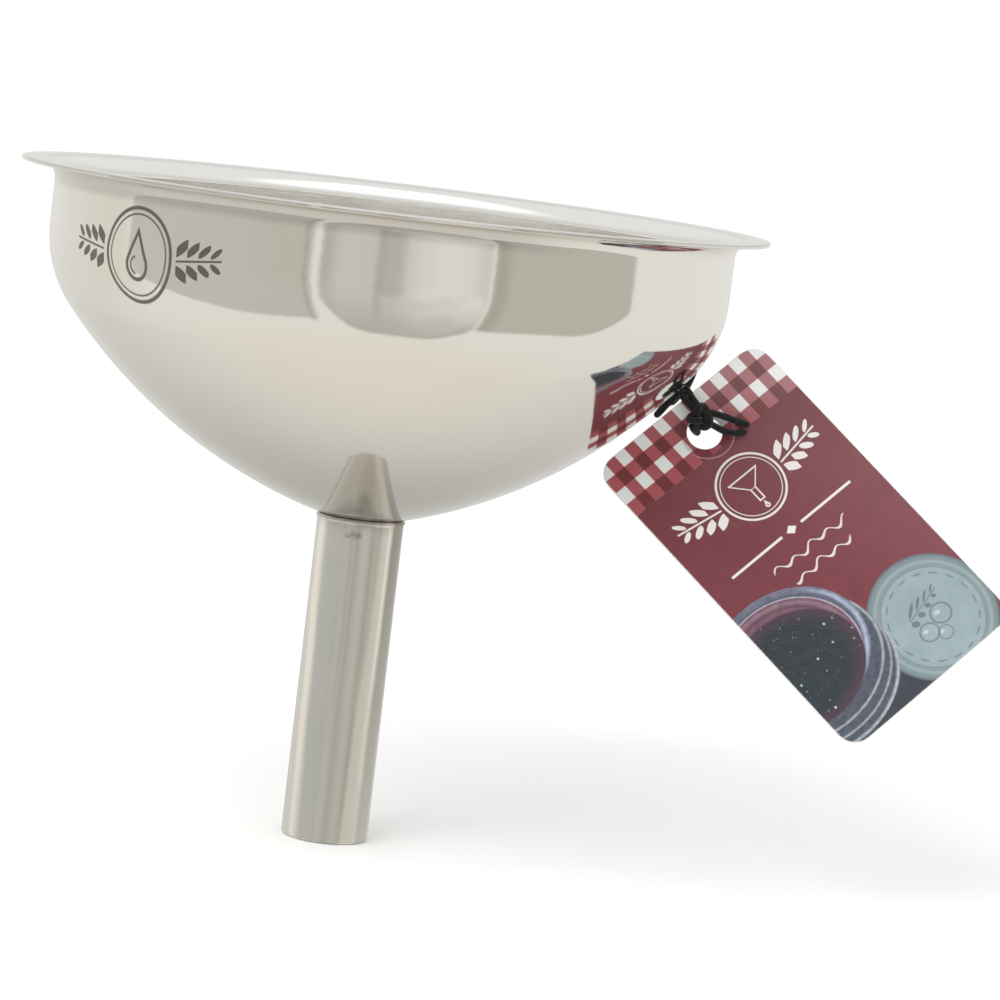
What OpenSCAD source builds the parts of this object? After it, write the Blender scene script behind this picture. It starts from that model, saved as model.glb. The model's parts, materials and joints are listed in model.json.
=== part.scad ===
// Straining funnel for filling jars and bottles: a pressed steel bowl with a
// straight spout, a lift-out mesh strainer and a card tag on a cord.
// The origin is the centre of the spout's open end, +Z is up through the rim.

/* [Bowl] */
// Overall diameter over the rim flange
rim_d = 140; // [136:0.5:146]
// Height from the spout's open end up to the rim
total_h = 122; // [112:1:135]
// Outer diameter of the straight wall below the rim
wall_d = 127.4; // [126:0.2:129]
// Thickness of the pressed sheet
sheet_t = 0.7; // [0.5:0.1:0.9]
// Outside radius of the fillet between rim flange and wall
rim_fillet_r = 3; // [2:0.25:3.25]
// Depth below the rim where the straight wall ends
wall_depth = 12; // [10.5:0.25:13]
// Outside radius of the shoulder under the wall
shoulder_r = 23.3; // [22.5:0.1:24.5]
// Angle that the shoulder turns through
shoulder_turn = 39; // [38:0.5:40.5]
// Outside radius of the shallow dome under the shoulder
dome_r = 101.7; // [99:0.1:104]

/* [Spout] */
// Outer diameter of the spout tube
spout_d = 16.4; // [15:0.1:18]
// Wall thickness of the spout tube
spout_t = 0.6; // [0.5:0.05:0.8]
// Length of the bowl's drawn collar inside the tube
collar_len = 9; // [6:0.5:14]
// Angle of the flare at the tube's top lip
lip_flare = 40; // [25:1:45]

/* [Side handle] */
// Direction of the handle around the bowl, counter-clockwise from +X
handle_azimuth = 50; // [45:1:60]
// Width of the strap, as an angle around the bowl's axis
handle_span = 9; // [7:0.5:11]
// Thickness of the strap
handle_t = 1; // [0.8:0.1:1.2]
// Reach of the strap beyond the wall
handle_reach = 20; // [17:0.5:24]
// Height of the opening's centreline loop
handle_h = 15; // [13:0.5:16]

/* [Strainer] */
// Diameter over the top of the strainer's seating skirt
strainer_d = 85; // [80:0.5:88]
// Width of the skirt, measured down the slope of the bowl
skirt_w = 7.5; // [6:0.5:9]
// Gap between the skirt and the bowl
seat_gap = 0.2; // [0.15:0.05:0.3]
// Sheet thickness of the strainer's rings
ring_t = 0.6; // [0.5:0.1:0.7]
// Width of the flat flange that carries the mesh
flange_w = 3.6; // [3.2:0.1:4.5]
// Thickness of the woven mesh
mesh_t = 0.5; // [0.4:0.05:0.6]

/* [Strainer handle] */
// Wire diameter of the lifting handle
bail_wire_d = 1.6; // [1.4:0.1:1.8]
// Radial clearance of the wire in its ears
bail_clearance = 0.06; // [0.04:0.01:0.1]
// Thickness of an ear
lug_t = 1; // [0.8:0.1:1.2]
// Width of an ear
lug_w = 5; // [4.5:0.1:6]

/* [Tag] */
// Width of the card
card_w = 41; // [38:0.5:44]
// Length of the card
card_h = 72; // [68:0.5:76]
// Thickness of the card
card_t = 0.6; // [0.4:0.05:0.8]
// Corner radius of the card
card_corner_r = 4; // [2:0.25:6]
// Diameter of the punched hole
card_hole_d = 6.7; // [6:0.1:7.2]
// Distance of the hole's centre below the card's top edge
card_hole_drop = 7.6; // [7:0.1:8]
// Place of the middle of the card's top edge along X
card_x = 56.9; // [56.5:0.1:57.5]
// Place of the middle of the card's top edge along Y
card_y = 6; // [5.5:0.1:6.5]
// Height of the middle of the card's top edge
card_z = 88.6; // [88:0.1:89.2]
// Angle that the resting card is tipped by, about X
card_tip = -37; // [-39:0.5:-35]
// Angle that the resting card is leaned by, about Y
card_lean = -41.3; // [-42.5:0.1:-40.5]
// Angle that the resting card is turned by, about Z
card_turn = 23.4; // [22.5:0.1:24.5]

/* [Cord] */
// Diameter of the cord
cord_d = 1.3; // [1.1:0.05:1.4]
// Size of the knot
knot_size = 0.85; // [0.8:0.01:0.9]

/* [Hidden] */

ROUND = 128;
ARC_STEP = 3;
WELD_GAP = 0.02;
TOUCH_GAP = 0.1;
// Short straight lead that a section needs before a bend that starts at its very edge
LEAD = 0.02;

// Radii and centres of the bowl, measured to the middle of its sheet
wall_r = wall_d / 2 - sheet_t / 2;
rim_bend_r = rim_fillet_r + sheet_t / 2;
shoulder_mid_r = shoulder_r - sheet_t / 2;
dome_mid_r = dome_r - sheet_t / 2;
shoulder_c = [wall_r - shoulder_mid_r, total_h - wall_depth];
dome_c = shoulder_c - (dome_r - shoulder_r) * [cos(shoulder_turn), -sin(shoulder_turn)];

// Collar that the spout tube is pushed over
collar_r = spout_d / 2 - spout_t - WELD_GAP - sheet_t / 2;
neck_bend_r = 1.6;
neck_turn = acos((collar_r + neck_bend_r - dome_c.x) / (dome_mid_r + neck_bend_r));
neck_c = dome_c + (dome_mid_r + neck_bend_r) * [cos(neck_turn), -sin(neck_turn)];

// Flared lip of the spout tube, just under the bowl
lip_bend_r = 1.5;
lip_drop = 0.25;
spout_mid_r = spout_d / 2 - spout_t / 2;
lip_c = [spout_mid_r + lip_bend_r, neck_c.y - lip_drop];

// Strainer seat, a band that runs parallel to the inside of the dome
seat_r = dome_r - sheet_t - seat_gap - ring_t / 2;
seat_from = acos((strainer_d / 2 - dome_c.x) / seat_r);
seat_to = seat_from + skirt_w / seat_r * 180 / PI;
seat_bend_r = 1.2;
seat_bend_c = dome_c + (seat_r - seat_bend_r) * [cos(seat_to), -sin(seat_to)];
flange_outer_r = seat_bend_c.x;
flange_inner_r = flange_outer_r - flange_w;
flange_top_z = seat_bend_c.y - seat_bend_r + ring_t / 2;
mesh_margin = 0.3;
mesh_r = flange_outer_r - mesh_margin;
mesh_top_z = flange_top_z + mesh_t;

// Clamp ring that holds the mesh down on the flange
hem_bend_r = 0.8;
hem_h = 1.4;
hem_margin = 0.6;
clamp_top_z = mesh_top_z + ring_t;
hem_r = flange_outer_r - hem_margin;

// Lifting handle of the strainer
bail_r = bail_wire_d / 2;
bail_bend_r = 2;
bail_lift = 2;
bail_axis_z = clamp_top_z + bail_lift + bail_r;
lug_margin = 0.3;
lug_x = flange_inner_r + lug_margin + lug_t;
leg_gap = 1.4;
bail_leg_x = lug_x - lug_t - leg_gap - bail_r;
end_gap = 0.4;
bail_end_x = hem_r - ring_t / 2 - end_gap;

// Points that the cord passes, in the card's own frame: X across, Y to its back, Z up
cord_r = cord_d / 2;
cord_front = -card_t / 2 - cord_r - TOUCH_GAP;
cross_point = [2.86, 0, 1.2];
hole_point = [0.54, 0, -card_hole_drop];
knot_point = [1.4, cord_front - 1.6, -5.4];

// ---- Sheet sections made of bends; a bend is [centre, radius, from, to] ----

function arc_points(c, r, a0, a1) =
    let (n = max(2, ceil(abs(a1 - a0) / ARC_STEP)))
    [for (i = [0:n]) let (a = a0 + (a1 - a0) * i / n) c + r * [cos(a), sin(a)]];

// Radius change that moves a bend's path sideways, positive to its left
function inward(bend, side) = -side * sign(bend[3] - bend[2]);

function end_point(p, bend, a, side) = p + inward(bend, side) * [cos(a), sin(a)];

function side_line(start, bends, end, side) =
    let (last = bends[len(bends) - 1])
    concat([end_point(start, bends[0], bends[0][2], side)],
           [for (b = bends) each arc_points(b[0], b[1] + inward(b, side), b[2], b[3])],
           [end_point(end, last, last[3], side)]);

function reversed(v) = [for (i = [len(v) - 1:-1:0]) v[i]];

// Outline of a sheet of thickness t that follows start, the bends and end
module sheet_section(start, bends, end, t) {
    polygon(concat(side_line(start, bends, end, t / 2),
                   reversed(side_line(start, bends, end, -t / 2))));
}

// ---- Cord swept along a smooth path ----

function unit(v) = v / norm(v);

function spline(p0, p1, p2, p3, u) =
    0.5 * ((2 * p1) + (p2 - p0) * u + (2 * p0 - 5 * p1 + 4 * p2 - p3) * u * u
           + (3 * p1 - p0 - 3 * p2 + p3) * u * u * u);

function smooth_path(p, steps) =
    let (last = len(p) - 1)
    concat([for (i = [0:last - 1], s = [0:steps - 1])
                spline(p[max(i - 1, 0)], p[i], p[i + 1], p[min(i + 2, last)], s / steps)],
           [p[last]]);

function cord_ring(path, i, r, sides, up) =
    let (last = len(path) - 1,
         t = unit(path[min(i + 1, last)] - path[max(i - 1, 0)]),
         n = unit(cross(t, up)),
         b = cross(n, t))
    [for (k = [0:sides - 1]) let (a = 360 * k / sides) path[i] + r * (cos(a) * n + sin(a) * b)];

// Tube of radius r along a path, closed with flat ends; up is never along the path
module sweep(path, r, up, sides = 10) {
    rings = len(path);
    points = [for (i = [0:rings - 1]) each cord_ring(path, i, r, sides, up)];
    walls = [for (i = [0:rings - 2], k = [0:sides - 1])
                let (a = i * sides, b = a + sides, m = (k + 1) % sides)
                each [[a + k, a + m, b + m], [a + k, b + m, b + k]]];
    first = [[for (k = [sides - 1:-1:0]) k]];
    far = [[for (k = [0:sides - 1]) (rings - 1) * sides + k]];
    polyhedron(points, concat(walls, first, far), convexity = 6);
}

// A point given by its distance from the bowl's axis, its direction and its height
function around(r, azimuth, z) = [r * cos(azimuth), r * sin(azimuth), z];

// ---- Funnel ----

module funnel_bowl() {
    rim_mid_z = total_h - sheet_t / 2;
    rim_bend = [[wall_r + rim_bend_r, rim_mid_z - rim_bend_r], rim_bend_r, 90, 180];
    shoulder = [shoulder_c, shoulder_mid_r, 0, -shoulder_turn];
    dome = [dome_c, dome_mid_r, -shoulder_turn, -neck_turn];
    neck = [neck_c, neck_bend_r, 180 - neck_turn, 180];
    color([0.8, 0.78, 0.75])
    rotate_extrude($fn = ROUND)
    sheet_section([rim_d / 2, rim_mid_z], [rim_bend, shoulder, dome, neck],
                  [collar_r, neck_c.y - collar_len], sheet_t);
}

module spout_tube() {
    lip = [lip_c, lip_bend_r, 180 - lip_flare, 180];
    lip_start = lip_c + lip_bend_r * [-cos(lip_flare), sin(lip_flare)];
    color([0.72, 0.71, 0.68])
    rotate_extrude($fn = ROUND)
    sheet_section(lip_start + LEAD * [sin(lip_flare), cos(lip_flare)], [lip],
                  [spout_mid_r, 0], spout_t);
}

module side_handle() {
    foot_bend_r = 2.5;
    foot_r = wall_d / 2 + WELD_GAP + handle_t / 2;
    top_z = total_h - rim_fillet_r - sheet_t - handle_t;
    low_z = top_z - handle_h;
    loop_r = handle_h / 2;
    loop_x = wall_d / 2 + handle_reach - loop_r - handle_t / 2;
    pad_r = shoulder_r + WELD_GAP + handle_t / 2;
    pad_bend_z = low_z - foot_bend_r;
    pad_rise = shoulder_c.y - pad_bend_z;
    pad_from = asin(pad_rise / (pad_r + foot_bend_r));
    pad_bend_c = shoulder_c + (pad_r + foot_bend_r) * [cos(pad_from), -sin(pad_from)];
    pad_to = shoulder_turn;
    pad_end = shoulder_c + pad_r * [cos(pad_to), -sin(pad_to)];
    bends = [
        [[foot_r + foot_bend_r, top_z - foot_bend_r], foot_bend_r, 180, 90],
        [[loop_x, top_z - loop_r], loop_r, 90, -90],
        [pad_bend_c, foot_bend_r, 90, 180 - pad_from],
        [shoulder_c, pad_r, -pad_from, -pad_to]
    ];
    color([0.76, 0.75, 0.72])
    rotate([0, 0, handle_azimuth - handle_span / 2])
    rotate_extrude(angle = handle_span, $fn = ROUND)
    sheet_section([foot_r, total_h - wall_depth], bends, pad_end, handle_t);
}

// ---- Strainer ----

module strainer_frame() {
    skirt = [dome_c, seat_r, -seat_from, -seat_to];
    fold = [seat_bend_c, seat_bend_r, -seat_to, -90];
    skirt_top = dome_c + seat_r * [cos(seat_from), -sin(seat_from)];
    color([0.78, 0.78, 0.76])
    rotate_extrude($fn = ROUND)
    sheet_section(skirt_top + LEAD * [sin(seat_from), cos(seat_from)], [skirt, fold],
                  [flange_inner_r, flange_top_z - ring_t / 2], ring_t);
}

module strainer_mesh() {
    color([0.6, 0.6, 0.6])
    translate([0, 0, flange_top_z])
    cylinder(r = mesh_r, h = mesh_t, $fn = ROUND);
}

module strainer_clamp_ring() {
    fold = [[hem_r - hem_bend_r, mesh_top_z + ring_t / 2 + hem_bend_r], hem_bend_r, 0, -90];
    color([0.8, 0.8, 0.78])
    rotate_extrude($fn = ROUND)
    sheet_section([hem_r, clamp_top_z + hem_h], [fold],
                  [flange_inner_r, mesh_top_z + ring_t / 2], ring_t);
}

module bail_lug() {
    ear_h = bail_axis_z - clamp_top_z;
    translate([lug_x - lug_t, 0, bail_axis_z])
    difference() {
        union() {
            rotate([0, 90, 0]) cylinder(d = lug_w, h = lug_t, $fn = 48);
            translate([0, -lug_w / 2, -ear_h]) cube([lug_t, lug_w, ear_h]);
        }
        translate([-1, 0, 0])
        rotate([0, 90, 0]) cylinder(r = bail_r + bail_clearance, h = lug_t + 2, $fn = 48);
    }
}

module bail_lugs() {
    color([0.78, 0.78, 0.76])
    for (side = [0, 180]) rotate([0, 0, side]) bail_lug();
}

module bail_end() {
    translate([bail_leg_x + bail_bend_r, 0, bail_axis_z])
    rotate([0, 90, 0]) cylinder(r = bail_r, h = bail_end_x - bail_leg_x - bail_bend_r, $fn = 32);
    translate([bail_leg_x + bail_bend_r, 0, bail_axis_z + bail_bend_r])
    rotate([90, 0, 0])
    rotate([0, 0, 180])
    rotate_extrude(angle = 90, $fn = 64)
    translate([bail_bend_r, 0]) circle(r = bail_r, $fn = 32);
}

module strainer_bail() {
    color([0.82, 0.82, 0.8]) {
        for (side = [0, 180]) rotate([0, 0, side]) bail_end();
        translate([0, 0, bail_axis_z + bail_bend_r])
        rotate([90, 0, 0])
        rotate_extrude(angle = 180, $fn = 96)
        translate([bail_leg_x, 0]) circle(r = bail_r, $fn = 32);
    }
}

// ---- Tag and cord ----

module on_card() {
    translate([card_x, card_y, card_z]) rotate([card_tip, card_lean, card_turn]) children();
}

module card_outline() {
    inset = card_corner_r;
    translate([-card_w / 2 + inset, -card_h]) square([card_w - 2 * inset, card_h]);
    translate([-card_w / 2, -card_h + inset]) square([card_w, card_h - 2 * inset]);
    for (x = [-1, 1], y = [-inset, inset - card_h])
        translate([x * (card_w / 2 - inset), y]) circle(r = card_corner_r, $fn = 48);
}

module swing_tag() {
    color([0.5, 0.13, 0.17])
    on_card()
    translate([0, card_t / 2, 0])
    rotate([90, 0, 0])
    difference() {
        linear_extrude(card_t) card_outline();
        translate([hole_point.x, hole_point.z, -1])
        cylinder(d = card_hole_d, h = card_t + 2, $fn = 48);
    }
}

// The loop that ties the card to the side handle
module tag_cord() {
    strap_z = total_h - rim_fillet_r - sheet_t - handle_t - handle_h / 2;
    strap_r = wall_d / 2 + handle_reach;
    a0 = handle_azimuth;
    half_span = handle_span / 2;
    inside_r = strap_r - handle_t - cord_d - 0.9;
    outside_r = strap_r + cord_d + 0.9;
    path = [
        around(59.4, 9.6, 91.6),
        around(62.4, 13, 97.5),
        around(68, 22, 104),
        around(76, 36, strap_z + 0.5),
        around(inside_r, a0 - half_span - 1.5, strap_z + 0.5),
        around(inside_r, a0, strap_z),
        around(inside_r + 0.8, a0 + half_span + 1, strap_z - 0.5),
        around(strap_r - 0.3, a0 + half_span + 2.7, strap_z - 0.7),
        around(outside_r, a0 + half_span + 0.5, strap_z - 1),
        around(outside_r + 0.3, a0, strap_z - 1.2),
        around(outside_r - 1, a0 - half_span - 1.5, strap_z - 2.5),
        around(74, 33, 99),
        around(61, 21.5, 90),
        around(56.5, 13.5, 86.8),
        around(57, 9.4, 88.6)
    ];
    color([0.06, 0.06, 0.06])
    sweep(smooth_path(path, 4), cord_r, [0, 0, 1]);
}

// Trefoil, the path of an overhand knot
function trefoil(t) =
    knot_size * [sin(t) + 2 * sin(2 * t), 1.15 * sin(3 * t), cos(t) - 2 * cos(2 * t)];

module knot_ball() {
    steps = 48;
    open_turn = 345;
    sweep([for (i = [0:steps]) trefoil(i * open_turn / steps)], cord_r, [0.13, 1, 0.21]);
}

// Two strands that come over the card's top edge to the knot
module edge_strands() {
    for (x = [-0.7, 0.7])
        sweep(smooth_path([cross_point + [x, 0.1, 0.2],
                           [cross_point.x + 0.95 * x, cord_front + 0.2, 0.5],
                           [cross_point.x - 0.5 + 0.9 * x, cord_front - 0.5, -0.9]], 4),
              cord_r, [1, 0, 0]);
}

// Strand that runs through the hole and up the back of the card
module margin_strand() {
    hole_top = hole_point.z + card_hole_d / 2 - cord_r - TOUCH_GAP;
    sweep(smooth_path([[hole_point.x - 1.9, cord_front - 0.6, hole_top - 2.2],
                       [hole_point.x - 1.1, 0, hole_top - 1.1],
                       [hole_point.x, -cord_front, hole_top + 0.9],
                       [cross_point.x - 0.4, -cord_front, -1.2],
                       [cross_point.x, -cord_front, 0.5]], 5),
          cord_r, [1, 0, 0]);
}

// The two cut ends of the cord
module loose_ends() {
    sweep(smooth_path([knot_point + [2.9, -0.2, -2.1], knot_point + [4.5, -0.3, -4.1],
                       knot_point + [6, 0.3, -6]], 4), cord_r, [0, 1, 0]);
    sweep(smooth_path([knot_point + [1.5, 0.3, -3.9], knot_point + [3, 0.2, -5.6],
                       knot_point + [4.6, 0.6, -7.1]], 4), cord_r, [0, 1, 0]);
}

module cord_knot() {
    color([0.06, 0.06, 0.06])
    on_card() {
        translate(knot_point) knot_ball();
        edge_strands();
        margin_strand();
        loose_ends();
    }
}

funnel_bowl();
spout_tube();
side_handle();
strainer_frame();
strainer_mesh();
strainer_clamp_ring();
bail_lugs();
strainer_bail();
swing_tag();
tag_cord();
cord_knot();
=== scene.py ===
"""Looks of the straining funnel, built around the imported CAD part."""
import json
from math import asin, atan2, copysign, cos, degrees, pi, radians, sin, sqrt, tau

import bmesh
import bpy
from mathutils import Matrix, Vector


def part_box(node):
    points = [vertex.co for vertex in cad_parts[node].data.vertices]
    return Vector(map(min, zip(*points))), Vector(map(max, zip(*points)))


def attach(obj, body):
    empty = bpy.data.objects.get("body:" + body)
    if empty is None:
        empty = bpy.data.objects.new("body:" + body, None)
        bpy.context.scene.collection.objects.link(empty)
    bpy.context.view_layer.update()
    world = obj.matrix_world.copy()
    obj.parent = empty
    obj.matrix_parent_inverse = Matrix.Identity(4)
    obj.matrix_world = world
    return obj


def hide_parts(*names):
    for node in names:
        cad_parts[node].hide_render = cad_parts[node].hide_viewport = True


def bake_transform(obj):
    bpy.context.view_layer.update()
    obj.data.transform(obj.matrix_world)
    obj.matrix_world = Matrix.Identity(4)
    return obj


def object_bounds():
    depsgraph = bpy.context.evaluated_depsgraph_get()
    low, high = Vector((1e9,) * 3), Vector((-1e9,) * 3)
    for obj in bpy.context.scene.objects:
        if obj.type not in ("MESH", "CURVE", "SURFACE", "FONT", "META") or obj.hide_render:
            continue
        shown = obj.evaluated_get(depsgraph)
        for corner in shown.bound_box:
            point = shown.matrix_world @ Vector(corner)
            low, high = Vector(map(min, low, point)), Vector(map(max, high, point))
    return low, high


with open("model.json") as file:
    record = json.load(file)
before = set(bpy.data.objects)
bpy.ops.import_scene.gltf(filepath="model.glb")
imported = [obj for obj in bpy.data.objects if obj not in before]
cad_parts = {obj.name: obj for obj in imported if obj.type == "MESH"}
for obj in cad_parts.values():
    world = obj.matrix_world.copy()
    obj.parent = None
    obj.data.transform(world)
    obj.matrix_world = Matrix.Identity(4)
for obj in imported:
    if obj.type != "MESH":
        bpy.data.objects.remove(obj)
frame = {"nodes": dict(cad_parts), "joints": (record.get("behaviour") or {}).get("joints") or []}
CAD_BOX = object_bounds()

MM = 0.001
DEGREES = 360 / tau
NODES = frame["nodes"]
FLAP = {j["name"]: j for j in frame["joints"]}["tag_flap"]
PIVOT = Vector(FLAP["pos_m"])
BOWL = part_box("funnel_bowl")
RIM_R = 0.5 * (BOWL[1].x - BOWL[0].x)
RIM_Z = BOWL[1].z


# ---- node fields


def operation(name, last=False):
    """A Field method that makes one math node; last puts the field behind the other input."""

    def method(self, *others):
        inputs = (*others, self) if last else (self, *others)
        node = self.tree.nodes.new("ShaderNodeMath")
        node.operation = name
        for slot, value in zip(node.inputs, inputs):
            if isinstance(value, Field):
                self.tree.links.new(value.socket, slot)
            else:
                slot.default_value = value
        return Field(self.tree, node.outputs[0])

    return method


class Field:
    """A value in a node tree that adds, multiplies and compares like a number."""

    def __init__(self, tree, socket):
        self.tree = tree
        self.socket = socket

    __add__ = __radd__ = operation("ADD")
    __sub__ = operation("SUBTRACT")
    __rsub__ = operation("SUBTRACT", last=True)
    __mul__ = __rmul__ = operation("MULTIPLY")
    __truediv__ = operation("DIVIDE")
    __abs__ = operation("ABSOLUTE")
    sqrt = operation("SQRT")
    sin = operation("SINE")
    cos = operation("COSINE")
    arcsin = operation("ARCSINE")
    atan2 = operation("ARCTAN2")
    power = operation("POWER")
    floor = operation("FLOOR")
    modulo = operation("FLOORED_MODULO")
    least = operation("MINIMUM")
    most = operation("MAXIMUM")

    def __neg__(self):
        return self * -1.0

    def above(self, edge, soft):
        """0 below the edge and 1 above it, smooth over plus and minus soft."""
        return self.ramp(edge - soft, edge + soft)

    def below(self, edge, soft):
        """1 below the edge and 0 above it."""
        return 1.0 - self.above(edge, soft)

    def near(self, middle, reach, soft):
        """1 less than reach away from middle and 0 further off."""
        return abs(self - middle).below(reach, soft)

    def ramp(self, low, high):
        """0 up to low, 1 from high on, smooth in between."""
        node = self.tree.nodes.new("ShaderNodeMapRange")
        node.interpolation_type = "SMOOTHSTEP"
        self.tree.links.new(self.socket, node.inputs["Value"])
        node.inputs["From Min"].default_value = low
        node.inputs["From Max"].default_value = high
        return Field(self.tree, node.outputs["Result"])


def length(x, y):
    """How far the point x, y lies from the origin."""
    return (x * x + y * y).sqrt()


class Nodes:
    """A node tree with short names for what the materials and the world need."""

    def __init__(self, tree):
        self.tree = tree

    def node(self, kind):
        return self.tree.nodes.new("ShaderNode" + kind)

    def link(self, value, slot):
        if isinstance(value, Field):
            self.tree.links.new(value.socket, slot)
        elif isinstance(value, bpy.types.NodeSocket):
            self.tree.links.new(value, slot)
        else:
            slot.default_value = value

    def position(self):
        return self.node("TexCoord").outputs["Object"]

    def xyz(self, vector):
        split = self.node("SeparateXYZ")
        self.link(vector, split.inputs[0])
        return [Field(self.tree, split.outputs[k]) for k in range(3)]

    def vector(self, x, y, z):
        join = self.node("CombineXYZ")
        for value, slot in zip((x, y, z), join.inputs):
            self.link(value, slot)
        return join.outputs[0]

    def uv(self):
        return self.xyz(self.node("UVMap").outputs[0])[:2]

    def noise(self, vector, scale, detail=3.0):
        made = self.node("TexNoise")
        self.link(vector, made.inputs["Vector"])
        made.inputs["Scale"].default_value = scale
        made.inputs["Detail"].default_value = detail
        return Field(self.tree, made.outputs["Fac"])

    def flat_noise(self, x, z, layer, scale, detail=3.0):
        """Noise on a flat face; each layer gives another pattern."""
        return self.noise(self.vector(x, z, layer), scale, detail)

    def speckle(self, vector, scale):
        """The distance to the nearest of many scattered points."""
        made = self.node("TexVoronoi")
        self.link(vector, made.inputs["Vector"])
        made.inputs["Scale"].default_value = scale
        return Field(self.tree, made.outputs["Distance"])

    def mix(self, share, first, second):
        made = self.node("Mix")
        made.data_type = "RGBA"
        self.link(share, made.inputs["Factor"])
        for value, slot in ((first, made.inputs[6]), (second, made.inputs[7])):
            if isinstance(value, tuple):
                value = (*value, 1.0)
            self.link(value, slot)
        return made.outputs[2]

    def layers(self, colour, *coats):
        """The colour under coats given as (share, colour), with the last one on top."""
        for share, coat in coats:
            colour = self.mix(share, colour, coat)
        return colour

    def facing(self):
        """0 where the surface faces the viewer and 1 where it is seen edge on."""
        return Field(self.tree, self.node("LayerWeight").outputs["Facing"])


class Shader(Nodes):
    """A material's node tree with its principled shader."""

    def __init__(self, name):
        self.material = bpy.data.materials.new(name)
        self.material.use_nodes = True
        super().__init__(self.material.node_tree)
        self.bsdf = self.tree.nodes["Principled BSDF"]

    def set(self, **inputs):
        for key, value in inputs.items():
            self.link(value, self.bsdf.inputs[key.replace("_", " ")])

    def bump(self, height, distance, strength):
        made = self.node("Bump")
        made.inputs["Distance"].default_value = distance
        made.inputs["Strength"].default_value = strength
        self.link(height, made.inputs["Height"])
        self.link(made.outputs[0], self.bsdf.inputs["Normal"])


# ---- mesh helpers


def placed(name, data):
    """A new object in the scene."""
    made = bpy.data.objects.new(name, data)
    bpy.context.scene.collection.objects.link(made)
    return made


def stand_in(name, mesh, material, node, body=None):
    """A new piece that takes a CAD node's place and rides on a body."""
    made = placed(name, mesh)
    mesh.materials.append(material)
    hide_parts(node)
    if body:
        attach(made, body)
    return made


def smooth(mesh):
    for face in mesh.polygons:
        face.use_smooth = True


def mesh_from(name, points, faces):
    mesh = bpy.data.meshes.new(name)
    mesh.from_pydata([tuple(p) for p in points], [], faces)
    mesh.validate()
    mesh.update()
    return mesh


def catmull(p0, p1, p2, p3, u):
    """The point at share u between p1 and p2 on the smooth curve through all four."""
    return 0.5 * (
        2 * p1
        + (p2 - p0) * u
        + (2 * p0 - 5 * p1 + 4 * p2 - p3) * u * u
        + (3 * p1 - p0 - 3 * p2 + p3) * u * u * u
    )


def smooth_path(points, steps):
    """A smooth curve through the points, with steps pieces between each two."""
    points = [Vector(p) for p in points]
    last = len(points) - 1
    path = []
    for i in range(last):
        near = [points[max(i - 1, 0)], points[i], points[i + 1], points[min(i + 2, last)]]
        path += [catmull(*near, s / steps) for s in range(steps)]
    return path + [points[last]]


def band_faces(rings, count, closed=False):
    """Quads between rings of count points; closed joins the last ring to the first."""
    faces = []
    for i in range(rings if closed else rings - 1):
        low, high = i * count, (i + 1) % rings * count
        for k in range(count):
            m = (k + 1) % count
            faces.append((low + k, low + m, high + m, high + k))
    return faces


def tube(path, radius, sides):
    """Points and faces of a round tube along a path, with rounded ends."""
    path, radii = rounded_ends(path, radius)
    last = len(path) - 1
    points = []
    normal = None
    for i, place in enumerate(path):
        tangent = (path[min(i + 1, last)] - path[max(i - 1, 0)]).normalized()
        if normal is None:
            normal = tangent.orthogonal().normalized()
        normal = (normal - tangent * normal.dot(tangent)).normalized()
        side = tangent.cross(normal)
        for k in range(sides):
            angle = tau * k / sides
            points.append(place + radii[i] * (cos(angle) * normal + sin(angle) * side))
    faces = band_faces(len(path), sides)
    faces.append(tuple(reversed(range(sides))))
    faces.append(tuple(range(last * sides, (last + 1) * sides)))
    return points, faces


def rounded_ends(path, radius):
    """The path with four extra rings at both ends, whose radii close it like a flat ball."""
    first = (path[0] - path[1]).normalized()
    final = (path[-1] - path[-2]).normalized()
    steps = [radians(angle) for angle in (20, 40, 60, 80)]
    depth = 0.8 * radius
    head = [path[0] + first * depth * sin(a) for a in reversed(steps)]
    tail = [path[-1] + final * depth * sin(a) for a in steps]
    caps = [radius * cos(a) for a in steps]
    return head + list(path) + tail, caps[::-1] + [radius] * len(path) + caps


def join(parts):
    """One points and faces pair from several."""
    points, faces = [], []
    for more_points, more_faces in parts:
        base = len(points)
        points += list(more_points)
        faces += [tuple(base + i for i in f) for f in more_faces]
    return points, faces


# ---- turned pieces


def seam_outline(node):
    """The closed outline of a turned CAD node in its (radius, height) half plane, in order."""
    same_point, on_plane = 1e-6, 2e-6
    work = bmesh.new()
    work.from_mesh(NODES[node].data)
    bmesh.ops.remove_doubles(work, verts=work.verts, dist=same_point)
    flat = [v for v in work.verts if abs(v.co.y) < on_plane and v.co.x > 0]
    chosen = set(flat)
    start = max(flat, key=lambda v: (v.co.x, v.co.z))
    order, before, here = [start], None, start
    while True:
        near = [e.other_vert(here) for e in here.link_edges]
        near = [v for v in near if v in chosen and v is not before]
        if before is None:
            near = sorted(near, key=lambda v: v.co.z)[:1]
        near = [v for v in near if v is start or v not in order]
        if not near or near[0] is start and len(order) > 2:
            break
        before, here = here, near[0]
        order.append(here)
    outline = [Vector((v.co.x, v.co.z)) for v in order]
    work.free()
    on_a_line = radians(0.1)
    return [p for i, p in enumerate(outline) if abs(turn_at(outline, i)) > on_a_line]


def turn_at(outline, i):
    """The angle by which the closed outline turns left at point i."""
    before, here, after = outline[i - 1], outline[i], outline[(i + 1) % len(outline)]
    first, second = here - before, after - here
    return atan2(first.x * second.y - first.y * second.x, first.dot(second))


def curvature_at(outline, i):
    """One over the radius of the circle through point i and its two neighbours."""
    before, after = outline[i - 1], outline[(i + 1) % len(outline)]
    return 2 * sin(turn_at(outline, i)) / (after - before).length


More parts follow.
